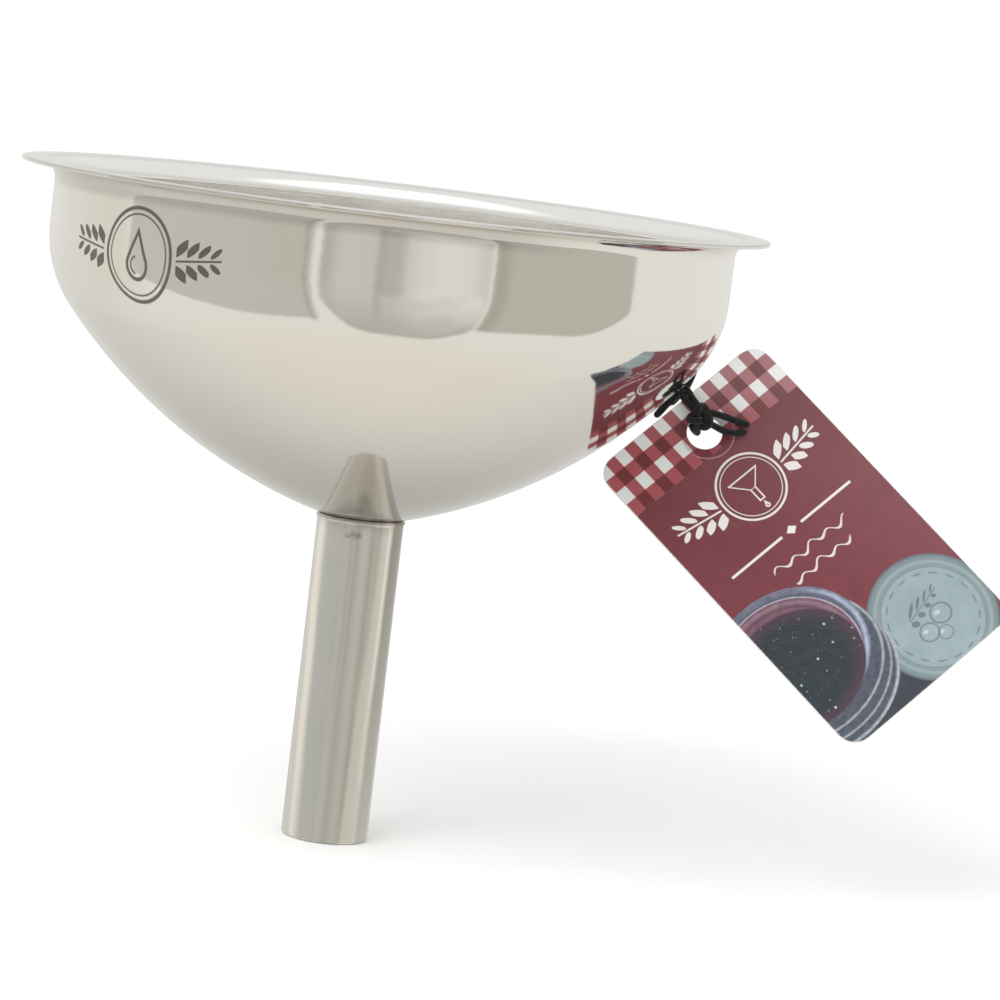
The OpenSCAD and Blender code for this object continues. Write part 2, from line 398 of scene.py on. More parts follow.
def arc_points(start, end, curvature, pieces):
    """The points that cut the arc of that curvature from start to end into equal pieces."""
    ahead = (end - start).normalized()
    left = Vector((-ahead.y, ahead.x))
    half_turn = asin(0.5 * (end - start).length * curvature)
    points = []
    for k in range(1, pieces):
        heading = half_turn * (2 * k / pieces - 1)
        along = (sin(heading) + sin(half_turn)) / curvature
        aside = (cos(half_turn) - cos(heading)) / curvature
        points.append(start + along * ahead + aside * left)
    return points


def piece_curvature(bend, i, j):
    """The curvature from point i to point j, taken from whichever lies well inside an arc."""
    for inner, outer in ((bend[i], bend[i - 1]), (bend[j], bend[(j + 1) % len(bend)])):
        if abs(inner - outer) < 0.1 * abs(inner):
            return inner
    return 0.0


def refined(outline, edge_r):
    """The outline with its corners rounded by edge_r and its arcs cut into short pieces."""
    sharp = radians(25)
    step = 0.5 * MM
    round_steps = 4
    straight = 1e-3
    count = len(outline)
    corner = [abs(turn_at(outline, i)) > sharp for i in range(count)]
    bend = [0.0 if corner[i] else curvature_at(outline, i) for i in range(count)]
    result = []
    for i in range(count):
        j = (i + 1) % count
        here, after = outline[i], outline[j]
        ahead = (after - here).normalized()
        first, last = here, after
        if corner[i]:
            back = (outline[i - 1] - here).normalized()
            for k in range(round_steps + 1):
                u = k / round_steps
                result.append(
                    (1 - u) ** 2 * (here + back * edge_r)
                    + 2 * u * (1 - u) * here
                    + u * u * (here + ahead * edge_r)
                )
            first = result[-1]
        else:
            result.append(here.copy())
        if corner[j]:
            last = after - ahead * edge_r
        curvature = 0.0 if corner[i] or corner[j] else piece_curvature(bend, i, j)
        pieces = max(1, round((last - first).length / step)) if abs(curvature) > straight else 1
        result += arc_points(first, last, curvature, pieces)
    return result


def turned(name, node, body, material, edge_r, segments=288):
    """A turned CAD node spun again with rounded sheet edges and a finer surface."""
    outline = refined(seam_outline(node), edge_r)
    turns = [tau * k / segments for k in range(segments)]
    points = [(p.x * cos(a), p.x * sin(a), p.y) for a in turns for p in outline]
    mesh = mesh_from(name, points, band_faces(segments, len(outline), closed=True))
    orient(mesh)
    smooth(mesh)
    stand_in(name, mesh, material, node, body)


def orient(mesh):
    """Turn all faces outward."""
    work = bmesh.new()
    work.from_mesh(mesh)
    bmesh.ops.recalc_face_normals(work, faces=work.faces)
    work.to_mesh(mesh)
    work.free()


# ---- materials

BLACK = (0.0, 0.0, 0.0)
POLISHED = (0.80, 0.775, 0.735)
SATIN = (0.70, 0.69, 0.65)


def shades(colour, low, high):
    """A darker and a lighter version of a colour."""
    return [tuple(c * share for c in colour) for share in (low, high)]


def polished_steel():
    """Mirror-polished bowl: buffing haze, a spun waviness, an etched mark and a weld's heat tint, with
    painted light on the inside and painted shade on the lip top, under the rim and where it is seen
    edge on.
    """
    s = Shader("polished_steel")
    place = s.position()
    x, y, z = s.xyz(place)
    azimuth = y.atan2(x)
    radius = length(x, y)
    rings = s.vector(azimuth * 3.0, z * 900.0, radius * 900.0)
    buffing = s.noise(rings, 1.2, detail=4.0)
    haze = s.noise(place, 38.0, detail=4.0)
    fine = s.noise(place, 900.0, detail=2.0)
    nx, ny = s.xyz(s.node("NewGeometry").outputs["Normal"])[:2]
    outward = (nx * x + ny * y) / radius
    inside = outward.below(-0.1, 0.1)
    lip = z.above(RIM_Z - 0.4 * MM, 0.3 * MM)
    below_rim = z.above(RIM_Z - 4.2 * MM, 0.8 * MM) * z.below(RIM_Z - 0.9 * MM, 0.5 * MM)
    # painted shade in the concave fillet under the rim, on the outside, on the bowl's left and front
    # only
    painted_rim_shade = below_rim * outward.above(0.1, 0.1) * azimuth.below(radians(-66), 0.15)
    joint = radius.below(11.5 * MM, 2.5 * MM) * z.below(BOWL[0].z + 14 * MM, 3 * MM)
    heat = joint * s.noise(place, 420.0).ramp(0.3, 0.7)
    mark = etched_mark(azimuth, z) * outward.above(0.3, 0.1)
    # painted shade: dark edges where the steel is seen edge on
    painted_edge_shade = s.facing().ramp(0.88, 0.99)
    colour = s.layers(
        s.mix(haze, *shades(POLISHED, 0.97, 1.03)),
        # painted light: the inside gets a paler steel colour so that its reflections look brighter
        (inside * 0.8, (0.90, 0.895, 0.88)),
        # painted shade: the flat top of the lip is darkened
        (lip * 0.2, BLACK),
        (painted_rim_shade * 0.22, BLACK),
        (heat * 0.35, (0.42, 0.34, 0.33)),
        (mark * 0.92, (0.15, 0.135, 0.11)),
        (painted_edge_shade * 0.65, (0.16, 0.16, 0.15)),
    )
    rough = haze * 0.05 + buffing * 0.05 + 0.015 + mark * 0.35
    s.set(Base_Color=colour, Metallic=1.0, Roughness=rough)
    wave = s.noise(place, 34.0, detail=1.5) * 0.6 + fine * 0.02 + buffing * 0.02 - mark * 0.1
    s.bump(wave, 0.4 * MM, 0.5)
    return s.material


def leaf_spray(along, aside, reach, leaf):
    """A stem with pairs of slanting leaves that get smaller towards its end; 1 where inked."""
    pairs = 4
    pitch = reach / pairs
    half_long, half_wide = 0.62 * leaf, 0.24 * leaf
    step = along.modulo(pitch) - 0.5 * pitch
    size = 1.15 - (along / pitch).floor() * 0.16
    off = abs(aside) - size * half_long
    lean = radians(38)
    u = (step * cos(lean) + off * sin(lean)) / size
    v = (off * cos(lean) - step * sin(lean)) / size
    blade = ((u / half_long).power(2.0) + (v / half_wide).power(2.0)).below(1.0, 0.12)
    stem = abs(aside).below(0.06 * leaf, 0.03 * leaf)
    inside = along.above(0.0, 0.05) * along.below(reach, 0.05)
    return blade.most(stem) * inside


def droplet(across, up, size):
    """How far a point lies outside a droplet with a round foot; negative inside it."""
    tip = 2.4
    lean = asin(1 / tip)
    ball = length(across, up) - size
    flank = abs(across) * cos(lean) + (up - tip * size) * sin(lean)
    return ball.least(flank.most(size * sin(lean) - up))


def etched_mark(azimuth, z):
    """A plain droplet in a double ring with a leaf spray each side, etched on the bowl's left."""
    wall_r = 0.91 * RIM_R / MM
    across = (azimuth - radians(-134)) * wall_r
    up = (z - RIM_Z) / MM + 13.5
    far = length(across, up)
    ring_r, inner_r = 8.2, 7.1
    line, soft = 0.34, 0.14
    rings = far.near(ring_r, line, soft).most(far.near(inner_r, 0.5 * line, soft))
    above_drop = up + 1.8
    drop = droplet(across, above_drop, 2.5).near(0.0, line, soft)
    glint = length(across, above_drop).near(1.5, 0.6 * line, soft) * across.below(-0.3, soft)
    beside = abs(across) - 9.4
    spray = leaf_spray(beside, up - beside * 0.12, 9.6, 3.2)
    return rings.most(drop).most(glint).most(spray)


def satin_steel():
    """Rolled strip with a satin finish: fine grain, clouds of tone and small scratches."""
    s = Shader("handle_steel")
    place = s.position()
    x, y, z = s.xyz(place)
    grain = s.noise(s.vector(x * 90.0, y * 90.0, z * 2600.0), 1.0, detail=4.0)
    cloud = s.noise(place, 90.0)
    scratch = s.noise(s.vector(x * 1900.0, y * 1900.0, z * 240.0), 1.0, detail=2.0).ramp(0.62, 0.7)
    colour = s.mix(cloud, *shades(SATIN, 0.86, 1.1))
    rough = grain * 0.12 + cloud * 0.06 + scratch * 0.1 + 0.15
    s.set(Base_Color=colour, Metallic=1.0, Roughness=rough, Anisotropic=0.4)
    s.bump(grain * 0.5 + cloud * 0.3 - scratch * 0.4, 0.06 * MM, 0.6)
    return s.material


def drawn_tube_steel():
    """Drawn tube: lengthwise grain and a weld's heat tint at its top, with painted reflections in soft
    lengthwise pale and dark bands and painted shade at its edges and where it is seen in mirrors.
    """
    s = Shader("drawn_tube_steel")
    low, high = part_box("spout_tube")
    place = s.position()
    x, y, z = s.xyz(place)
    turn = x.atan2(-y) * DEGREES
    rise = (z - low.z) / (high.z - low.z)
    grain = s.noise(s.vector(x * 2600.0, y * 2600.0, z * 22.0), 1.0)
    cloud = s.noise(place, 70.0, detail=4.0)
    wobble = (s.noise(s.vector(z * 60.0, turn * 0.01, 0.0), 1.0, detail=2.0) - 0.5) * 7.0
    turn = turn + wobble
    # painted reflections: pale and dark lengthwise bands set by the turn round the tube, the dark edge
    # band growing towards the top
    painted_light_left = (turn + rise * 15).near(-46, 8.0, 5.0)
    painted_light_right = (turn - rise * 15).near(28, 9.5, 4.0)
    painted_shade_middle = turn.above(-4.0, 5.0) * turn.below(21.0, 4.0)
    painted_shade_edge = (turn - rise * 4).near(60, 15.0, 5.0)
    pink = turn.near(-8, 2.5, 3.0) * rise.above(0.45, 0.3)
    blot = s.noise(place, 520.0)
    smear = s.noise(place, 900.0, detail=4.0)
    spot = (turn + 6).power(2.0) / 90 + ((z - high.z + 2.9 * MM) / MM).power(2.0) / 0.9
    weld = (spot * 0.6 + smear * 2.6).below(1.75, 0.45)
    top = z.above(high.z - 1.6 * MM, 1.4 * MM)
    # painted shade: dark edges where the tube is seen edge on
    painted_edge_shade = s.facing().ramp(0.75, 1.0)
    # painted shade: the tube is darker where it is seen in a reflection
    mirrored = Field(s.tree, s.node("LightPath").outputs["Is Glossy Ray"])
    colour = s.layers(
        s.mix(cloud, *shades(SATIN, 0.97, 1.05)),
        (painted_light_left.most(painted_light_right) * 0.8, (1.0, 0.94, 0.87)),
        (painted_shade_middle * 0.4, (0.40, 0.395, 0.36)),
        (painted_shade_edge * (0.45 + rise * 0.42), (0.26, 0.235, 0.21)),
        (pink * 0.45, (0.55, 0.44, 0.41)),
        (weld * 0.6, (0.27, 0.2, 0.2)),
        (top * blot * 0.7, (0.36, 0.31, 0.27)),
        (painted_edge_shade * 0.55, (0.2, 0.195, 0.18)),
        (mirrored * 0.55, (0.34, 0.325, 0.30)),
    )
    rough = grain * 0.12 + cloud * 0.06 + 0.13
    s.set(Base_Color=colour, Metallic=1.0, Roughness=rough, Anisotropic=0.5)
    s.bump(grain * 0.4 + cloud * 0.5, 0.09 * MM, 0.6)
    return s.material


def plain_steel(name, tint, roughness):
    """Pressed or drawn steel with fine scratches."""
    s = Shader(name)
    place = s.position()
    x, y, z = s.xyz(place)
    scratch = s.noise(s.vector(x * 300.0, y * 300.0, z * 2400.0), 1.0, detail=4.0)
    cloud = s.noise(place, 120.0)
    colour = s.mix(cloud, *shades(tint, 0.9, 1.0))
    s.set(Base_Color=colour, Metallic=1.0, Roughness=scratch * 0.15 + cloud * 0.08 + roughness)
    s.bump(scratch * 0.6 + cloud * 0.4, 0.05 * MM, 0.5)
    return s.material


def black_cord():
    """Matt braided cord: strands wind round it both ways, with a little fibre fuzz."""
    s = Shader("black_cord")
    along, around = s.uv()
    strands, pitch = 4, 2200.0
    right = (along * pitch + around * tau * strands).sin()
    left = (along * pitch - around * tau * strands).sin()
    braid = right.most(left)
    fuzz = s.noise(s.position(), 4200.0)
    # painted shade: darker in the grooves between the strands and lighter on their crests; the fuzz
    # adds random tone
    colour = s.mix(braid * 0.35 + fuzz * 0.4, (0.004, 0.004, 0.005), (0.02, 0.02, 0.02))
    s.set(
        Base_Color=colour,
        Roughness=fuzz * 0.2 + 0.7,
        Sheen_Weight=0.12,
        Sheen_Roughness=0.5,
        Specular_IOR_Level=0.3,
    )
    s.bump(braid * 0.7 + fuzz * 0.5, 0.12 * MM, 0.9)
    return s.material


# ---- funnel

steel_bowl = polished_steel()
steel_tube = drawn_tube_steel()
steel_ring = plain_steel("strainer_steel", (0.74, 0.73, 0.71), 0.16)
steel_wire = plain_steel("bail_steel", (0.76, 0.75, 0.73), 0.12)
steel_weave = plain_steel("woven_steel", (0.62, 0.62, 0.60), 0.2)
cord_black = black_cord()

turned("polished_bowl", "funnel_bowl", "funnel", steel_bowl, 0.22 * MM)
turned("satin_spout", "spout_tube", "funnel", steel_tube, 0.18 * MM, 160)
turned("strainer_seat_ring", "strainer_frame", "strainer", steel_ring, 0.2 * MM)
turned("strainer_hem_ring", "strainer_clamp_ring", "strainer", steel_ring, 0.2 * MM)


def dress(node, material, bevel):
    """A CAD node that keeps its own mesh: material, welded seams and broken edges."""
    o = NODES[node]
    o.data.materials.clear()
    o.data.materials.append(material)
    weld = o.modifiers.new("weld", "WELD")
    weld.merge_threshold = 1e-6
    edges = o.modifiers.new("edges", "BEVEL")
    edges.width = bevel
    edges.segments = 3
    edges.limit_method = "ANGLE"
    edges.angle_limit = radians(40)
    edges.harden_normals = True
    smooth(o.data)


dress("side_handle", satin_steel(), 0.25 * MM)
dress("bail_lugs", steel_ring, 0.15 * MM)
dress("strainer_bail", steel_wire, 0.1 * MM)


# ---- woven mesh


def woven_mesh():
    """Plain weave of round wires cut to the strainer's disc, each wire riding over and under."""
    low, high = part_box("strainer_mesh")
    rim_gap = 0.2 * MM
    radius = 0.5 * (high.x - low.x) - rim_gap
    middle = 0.5 * (low.z + high.z)
    wire_r = 0.11 * MM
    pitch = 0.85 * MM
    steps_per_pitch = 3
    lift = wire_r * 1.02
    rows = int(radius / pitch)
    parts = []
    for way in range(2):
        for row in range(-rows, rows + 1):
            offset = row * pitch
            reach = sqrt(radius * radius - offset * offset)
            steps = max(2, int(reach / (pitch / steps_per_pitch)))
            path = []
            for k in range(-steps, steps + 1):
                run = reach * k / steps
                phase = pi * (run / pitch + row + way)
                place = (run, offset) if way == 0 else (offset, run)
                path.append(Vector((*place, middle + lift * cos(phase))))
            parts.append(tube(path, wire_r, sides=6))
    points, faces = join(parts)
    mesh = mesh_from("woven_disc", points, faces)
    smooth(mesh)
    stand_in("woven_disc", mesh, steel_weave, "strainer_mesh", "strainer")


woven_mesh()


# ---- card tag


def card_axes():
    """The matrix from the card's frame (X across, Y to its back, Z up) to the row frame, and its size.

    The card's frame starts at the middle of its top edge.
    """
    mesh = NODES["swing_tag"].data
    seen = [f for f in mesh.polygons if f.normal.y < 0]
    front = max(seen, key=lambda f: f.area).normal.normalized()
    across = Vector(FLAP["axis"]).normalized()
    axes = (across, -front, across.cross(-front).normalized())
    spans = [[v.co.dot(axis) for v in mesh.vertices] for axis in axes]
    low, high = (Vector([pick(span) for span in spans]) for pick in (min, max))
    turn = Matrix(axes).transposed()
    origin = turn @ Vector((0.5 * (low.x + high.x), 0.5 * (low.y + high.y), high.z))
    return Matrix.Translation(origin) @ turn.to_4x4(), high - low


CARD, CARD_SIZE = card_axes()
CROSSING = CARD.inverted() @ PIVOT
HOLE_R = 3.35 * MM
HOLE = Vector((0.54 * MM, 0, -7.6 * MM))
CORNER_R = 4 * MM


def card_edge(inset):
    """The card's outline in its own X and Z, with round corners, as equal-count points."""
    half_w = 0.5 * CARD_SIZE.x - inset
    top, bottom = -inset, -CARD_SIZE.z + inset
    r = CORNER_R - inset
    steps = 8
    points = []
    corners = ((half_w, top, 0), (-half_w, top, 90), (-half_w, bottom, 180), (half_w, bottom, 270))
    for x, z, turn in corners:
        cx = x - copysign(r, x)
        cz = z - r if z == top else z + r
        for k in range(steps + 1):
            a = radians(turn + 90 * k / steps)
            points.append((cx + r * cos(a), cz + r * sin(a)))
    return points


def ring_of(work, outline, depth):
    """New vertices along an outline at a depth in the card."""
    return [work.verts.new((x, depth, z)) for x, z in outline]


def swing_card():
    """The printed card: front and back faces, and a pale core that shows at its cut edges."""
    half_t = 0.5 * CARD_SIZE.y
    edge = 0.1 * MM
    hole_count = 48
    turns = [tau * k / hole_count for k in range(hole_count)]
    work = bmesh.new()
    loops = []
    for depth, inset in ((-half_t, edge), (-half_t + edge, 0), (half_t - edge, 0), (half_t, edge)):
        grown = HOLE_R + inset
        hole = [(HOLE.x + grown * cos(a), HOLE.z + grown * sin(a)) for a in turns]
        loops.append((ring_of(work, card_edge(inset), depth), ring_of(work, hole, depth)))
    for before, after in zip(loops, loops[1:]):
        for loop_a, loop_b in zip(before, after):
            count = len(loop_a)
            for k in range(count):
                m = (k + 1) % count
                side = work.faces.new((loop_a[k], loop_a[m], loop_b[m], loop_b[k]))
                side.material_index = 2
                side.smooth = True
    for face_index, rings in enumerate((loops[0], loops[-1])):
        edges = []
        for ring in rings:
            edges += [work.edges.get((ring[k - 1], ring[k])) for k in range(len(ring))]
        filled = bmesh.ops.triangle_fill(work, edges=edges, use_beauty=True)
        for face in filled["geom"]:
            if isinstance(face, bmesh.types.BMFace):
                face.material_index = face_index
    bmesh.ops.recalc_face_normals(work, faces=work.faces)
    layer = work.loops.layers.uv.new("card")
    for face in work.faces:
        for corner in face.loops:
            corner[layer].uv = (corner.vert.co.x / MM, corner.vert.co.z / MM)
    mesh = bpy.data.meshes.new("printed_card")
    work.to_mesh(mesh)
    work.free()
    mesh.transform(CARD)
    stand_in("printed_card", mesh, card_front(), "swing_tag", "tag")
    mesh.materials.append(card_back())
    mesh.materials.append(card_core())


BURGUNDY = (0.176, 0.046, 0.056)
INK_WHITE = (0.83, 0.80, 0.78)
GLARE = (1.0, 0.96, 0.98)


def ellipse(x, z, centre, radii):
    """1 on the ellipse's line, less inside it and more outside."""
    across = (x - centre[0]) / radii[0]
    up = (z - centre[1]) / radii[1]
    return length(across, up)


def inked(s, x, z, ink, colour):
    """White ink over the colour, a little worn."""
    worn = s.flat_noise(x, z, 4.0, 3.0, 4.0).ramp(0.25, 0.45)
    return s.mix(ink * (0.65 + worn * 0.3), colour, INK_WHITE)


def card_finish(s, colour, x, z):
    """The coated board's gloss, with soft blotches, tiny pits and a scuffed border."""
    speck = s.flat_noise(x, z, 0.0, 3.5, 4.0)
    pits = s.flat_noise(x, z, 7.0, 14.0, 2.0)
    width, height = CARD_SIZE.x / MM, CARD_SIZE.z / MM
    border = (abs(x) - width / 2 + 0.22).most(abs(z + height / 2) - height / 2 + 0.22)
    corner = (abs(x) + abs(z + height / 2)).above(width / 2 + height / 2 - 5.0, 3.0)
    scuff = border.above(0.0, 0.2) * (speck + corner * 0.12).ramp(0.56, 0.66)
    colour = s.mix(scuff * 0.75, colour, (0.75, 0.72, 0.70))
    s.set(Base_Color=colour, Roughness=speck * 0.12 + scuff * 0.3 + 0.3, Specular_IOR_Level=0.16)
    s.bump(speck * 0.5 + pits * 0.3 - scuff * 0.6, 0.04 * MM, 0.5)
    return s.material


def ground_colour(s, x, z):
    """Burgundy ink in soft clouds, with a faint glare towards the upper right."""
    cloud = s.flat_noise(x, z, 0.0, 0.25, 5.0)
    ink = s.mix(cloud, *shades(BURGUNDY, 0.88, 1.14))
    return s.mix((x + z * 0.4).ramp(-25.0, 10.0) * 0.03, ink, GLARE)


def gingham(s, x, z, ground):
    """A woven check band along the card's top, brighter where the light glances off it."""
    columns, rows, band = 17, 4, 11.9
    width = CARD_SIZE.x / MM
    across = ((x + width / 2) / (2 * width / columns)).modulo(1.0).above(0.5, 0.02)
    down = (-z / (2 * band / rows)).modulo(1.0).above(0.5, 0.02)
    weave = s.flat_noise(x, z * 0.3, 0.0, 9.0, 2.0)
    glare = (x * 0.9 + z + 6.0).ramp(-8.0, 18.0)
    white, one, both = (
        s.mix(glare * share, s.mix(weave, dark, light), tint)
        for dark, light, share, tint in (
            ((0.70, 0.73, 0.70), (0.78, 0.80, 0.775), 0.85, (1.0, 1.0, 1.0)),
            ((0.34, 0.078, 0.088), (0.40, 0.105, 0.12), 0.15, GLARE),
            ((0.145, 0.032, 0.033), (0.18, 0.046, 0.047), 0.07, GLARE),
        )
    )
    check = s.layers(white, (across.most(down), one), (across * down, both))
    return s.mix(z.above(-band, 0.05), ground, check)


def jar_print(s, x, z, colour):
    """An open jar of dark jam seen from above: screw threads, a glass rim and jam with bubbles."""
    cloud = s.flat_noise(x, z, 2.0, 0.6, 4.0)
    streak = s.flat_noise(x * 0.8, z * 0.8, 5.0, 1.3, 4.0)
    grit = s.flat_noise(x, z, 8.0, 4.5)
    right = (x * 0.7 - z).above(41.0, 6.0)
    for drop, twist in ((6.4, 1.0), (4.6, 0.0), (2.6, 0.35)):
        thread = ellipse(x, z, (-17.2 + drop * 0.1, -51.8 - drop), (16.7, 13.2))
        shade = s.mix(streak, (0.03, 0.037, 0.055), (0.13, 0.145, 0.185))
        ridge = thread.near(0.985, 0.012 + twist * 0.012, 0.02)
        rope = (grit - 0.5) * (2.5 * twist) + streak
        body = s.mix(ridge * (rope * 0.9 + 0.2), shade, (0.5, 0.53, 0.56))
        colour = s.mix(thread.below(1.0, 0.015), colour, body)
    rim = ellipse(x, z, (-17.5, -51.7), (16.3, 13.1))
    inner = ellipse(x, z, (-17.7, -52.4), (14.3, 12.1))
    jam_edge = ellipse(x, z, (-17.9, -54.2), (13.9, 11.0))
    glass = s.mix(streak, (0.05, 0.055, 0.085), (0.17, 0.18, 0.24))
    colour = s.mix(rim.below(1.0, 0.015), colour, glass)
    for at, thick, share in ((0.985, 0.006, 0.5), (0.955, 0.006, 0.45), (0.925, 0.005, 0.35)):
        line = rim.near(at, thick, 0.01) * (streak * 1.3 - 0.1) * share
        colour = s.mix(line, colour, (0.55, 0.58, 0.66))
    gleam = rim.near(0.95, 0.02, 0.025) * right * (0.45 + streak * 0.8)
    colour = s.mix(gleam, colour, (0.42, 0.49, 0.63))
    wall = s.layers(
        s.mix(cloud, (0.10, 0.05, 0.075), (0.25, 0.125, 0.165)),
        (inner.near(0.93, 0.02, 0.04) * streak * 0.7, (0.42, 0.33, 0.39)),
        (inner.near(0.86, 0.01, 0.02) * 0.5, (0.05, 0.02, 0.04)),
    )
    line = inner.near(1.0, 0.008, 0.012) * (0.35 + streak * 0.6)
    colour = s.layers(colour, (inner.below(1.0, 0.015), wall), (line, (0.62, 0.62, 0.70)))
    jam = s.mix(cloud, (0.02, 0.033, 0.038), (0.048, 0.053, 0.062))
    jam = s.mix(jam_edge.ramp(0.7, 1.0) * (0.35 + streak * 0.4), jam, (0.10, 0.05, 0.075))
    for scale, size, share in ((0.45, 0.10, 0.85), (0.9, 0.10, 0.5), (1.7, 0.12, 0.3)):
        bubbles = s.speckle(s.vector(x, z, scale), scale)
        lit = s.flat_noise(x, z, scale * 7.0, 0.5).ramp(0.45, 0.6)
        jam = s.mix(bubbles.below(size, 0.06) * lit * share, jam, (0.55, 0.66, 0.64))
    return s.mix(jam_edge.below(1.0, 0.02), colour, jam)


def lid_print(s, x, z, colour):
    """A pressed metal lid lying flat: plain rings, a beaded circle and a sprig of round fruit."""
    cloud = s.flat_noise(x, z, 9.0, 0.3)
    across, up = x - 8.6, z + 62.6
    far = length(across, up)
    beads = (up.atan2(across) * 17.0).sin().above(0.0, 0.4)
    metal = s.layers(
        s.mix(cloud, (0.23, 0.30, 0.315), (0.33, 0.41, 0.425)),
        (far.above(10.1, 0.4) * 0.75, (0.16, 0.21, 0.225)),
        (far.near(10.9, 0.3, 0.4) * 0.6, (0.36, 0.43, 0.44)),
        (far.near(9.9, 0.12, 0.15) * 0.6, (0.12, 0.155, 0.165)),
        (far.above(12.1, 0.3) * 0.5, (0.07, 0.09, 0.10)),
        (far.near(8.7, 0.14, 0.12) * beads * 0.7, (0.10, 0.13, 0.14)),
    )
    for fx, fz, size in ((6.0, -64.4, 2.0), (10.2, -62.9, 2.2), (8.4, -66.3, 1.5)):
        fruit = ellipse(x, z, (fx, fz), (size, size * 0.92))
        glint = ellipse(x, z, (fx - 0.5, fz + 0.5), (size * 0.3, size * 0.2))
        metal = s.layers(
            metal,
            (fruit.near(0.95, 0.07, 0.07) * 0.7, (0.08, 0.1, 0.11)),
            (glint.below(1.0, 0.3) * 0.5, (0.62, 0.68, 0.69)),
        )
    stalk = leaf_spray(x - 4.6 - (z + 60.5) * 0.4, z + 60.6 - (x - 4.6) * 0.25, 7.4, 1.6)
    metal = s.mix(stalk * 0.65, metal, (0.08, 0.1, 0.11))
    return s.mix(far.below(12.5, 0.15), colour, metal)


def emblem_print(s, x, z, colour):
    """A funnel drawn in a double ring between leaf sprays, with a rule and wavy lines below."""
    up = z + 21.4
    rule_z = -32.7
    ring_r, inner_r = 6.7, 5.9
    line, soft = 0.22, 0.08
    far = length(x, up)
    ink = far.near(ring_r, line, soft).most(far.near(inner_r, 0.4 * line, soft))
    mouth = up - 2.6
    flank = abs(x) - (mouth * 0.92).least(0.0) - 3.4
    cone = flank.most(mouth).most(-up - 0.6)
    spout = (abs(x) - 0.55).most(-up - 3.2).most(up + 0.4)
    ink = ink.most(abs(cone.least(spout)).below(0.7 * line, soft))
    ink = ink.most(abs(droplet(x, up + 4.75, 0.34)).below(0.16, soft))
    beside = abs(x) - 7.6
    ink = ink.most(leaf_spray(beside, up - beside * 0.16, 9.6, 3.0))
    diamond = (abs(x) * 0.8 + abs(z - rule_z)).below(0.95, soft)
    rule = z.near(rule_z, 0.26, soft) * abs(x).below(15.0, soft) * abs(x).above(2.4, soft)
    ink = ink.most(diamond).most(rule)
    for level, reach, phase in ((-37.3, 9.0, 0.0), (-40.9, 7.0, 1.3)):
        curl = (x * 1.5 + phase).sin() * 0.6 + (x * 0.7 + phase).sin() * 0.3
        pen = (x * 1.5 + phase + 0.8).cos() * 0.09 + 0.2
        wave = (abs(z - level - curl) - pen).below(0.0, soft) * x.near(0.6, reach, 0.3)
        ink = ink.most(wave * 0.85)
    return inked(s, x, z, ink, colour)


def card_front():
    """The front's print, drawn with distances in millimetres in the card's own frame."""
    s = Shader("card_front")
    x, z = s.uv()
    colour = gingham(s, x, z, ground_colour(s, x, z))
    colour = emblem_print(s, x, z, colour)
    cloud = s.flat_noise(x, z, 6.0, 0.4)
    table = s.mix(cloud, (0.035, 0.038, 0.05), (0.07, 0.072, 0.09))
    leftward = (x + z * 0.12).below(-5.0, 4.0).most(x.below(3.0, 0.8))
    colour = s.mix((z + x * 0.1).below(-62.5, 0.6) * leftward, colour, table)
    colour = lid_print(s, x, z, colour)
    colour = jar_print(s, x, z, colour)
    # a darker disc round the hole, with a pale line along its lower edge
    dark_disc_r = 5.1
    from_hole = length(x - HOLE.x / MM - 0.3, z - HOLE.z / MM + 0.4)
    lip = from_hole.near(dark_disc_r + 0.05, 0.12, 0.1) * z.below(-9.5, 1.5)
    colour = s.layers(
        colour,
        (from_hole.below(dark_disc_r, 0.1) * 0.35, (0.15, 0.035, 0.045)),
        (lip * 0.5, (0.62, 0.42, 0.42)),
    )
    return card_finish(s, colour, x, z)


def card_back():
    """The back's print: plain rules with a diamond, and the lid again in the lower corner."""
    s = Shader("card_back")
    x, z = s.uv()
    colour = ground_colour(s, x, z)
    ink = (abs(x) * 0.8 + abs(z + 16.5)).below(0.95, 0.08)
    for level, reach in ((-21.0, 15.0), (-25.0, 13.0), (-29.0, 15.0), (-33.0, 11.0)):
        ink = ink.most(z.near(level, 0.26, 0.08) * abs(x).below(reach, 0.1))
    colour = inked(s, x, z, ink, colour)
    table = (z + x * 0.08).below(-52.0, 0.4)
    cloud = s.flat_noise(x, z, 2.0, 0.3, 4.0)
    colour = s.mix(table, colour, s.mix(cloud, (0.04, 0.045, 0.058), (0.085, 0.09, 0.11)))
    colour = lid_print(s, -x, z, colour)
    return card_finish(s, colour, x, z)


def card_core():
    """The board's pale cut edge, with fibres that run along it."""
    s = Shader("card_core")
    place = s.position()
    fibre = s.noise(place, 2600.0)
    colour = s.mix(fibre, (0.62, 0.60, 0.57), (0.84, 0.82, 0.79))
    s.set(Base_Color=colour, Roughness=fibre * 0.1 + 0.8)
    s.bump(fibre, 0.08 * MM, 0.6)
    return s.material


swing_card()


# ---- cord


CORD_R = 0.65 * MM
CORD_SIDES = 14
# The depth, in mm in the card's frame, of a cord that lies on the card's front.
ON_FRONT = -(0.5 * CARD_SIZE.y + CORD_R) / MM - 0.1


def around(r, azimuth, z):
    """A point round the bowl's axis, from millimetres and degrees."""
    a = radians(azimuth)
    return Vector((r * cos(a), r * sin(a), z)) * MM


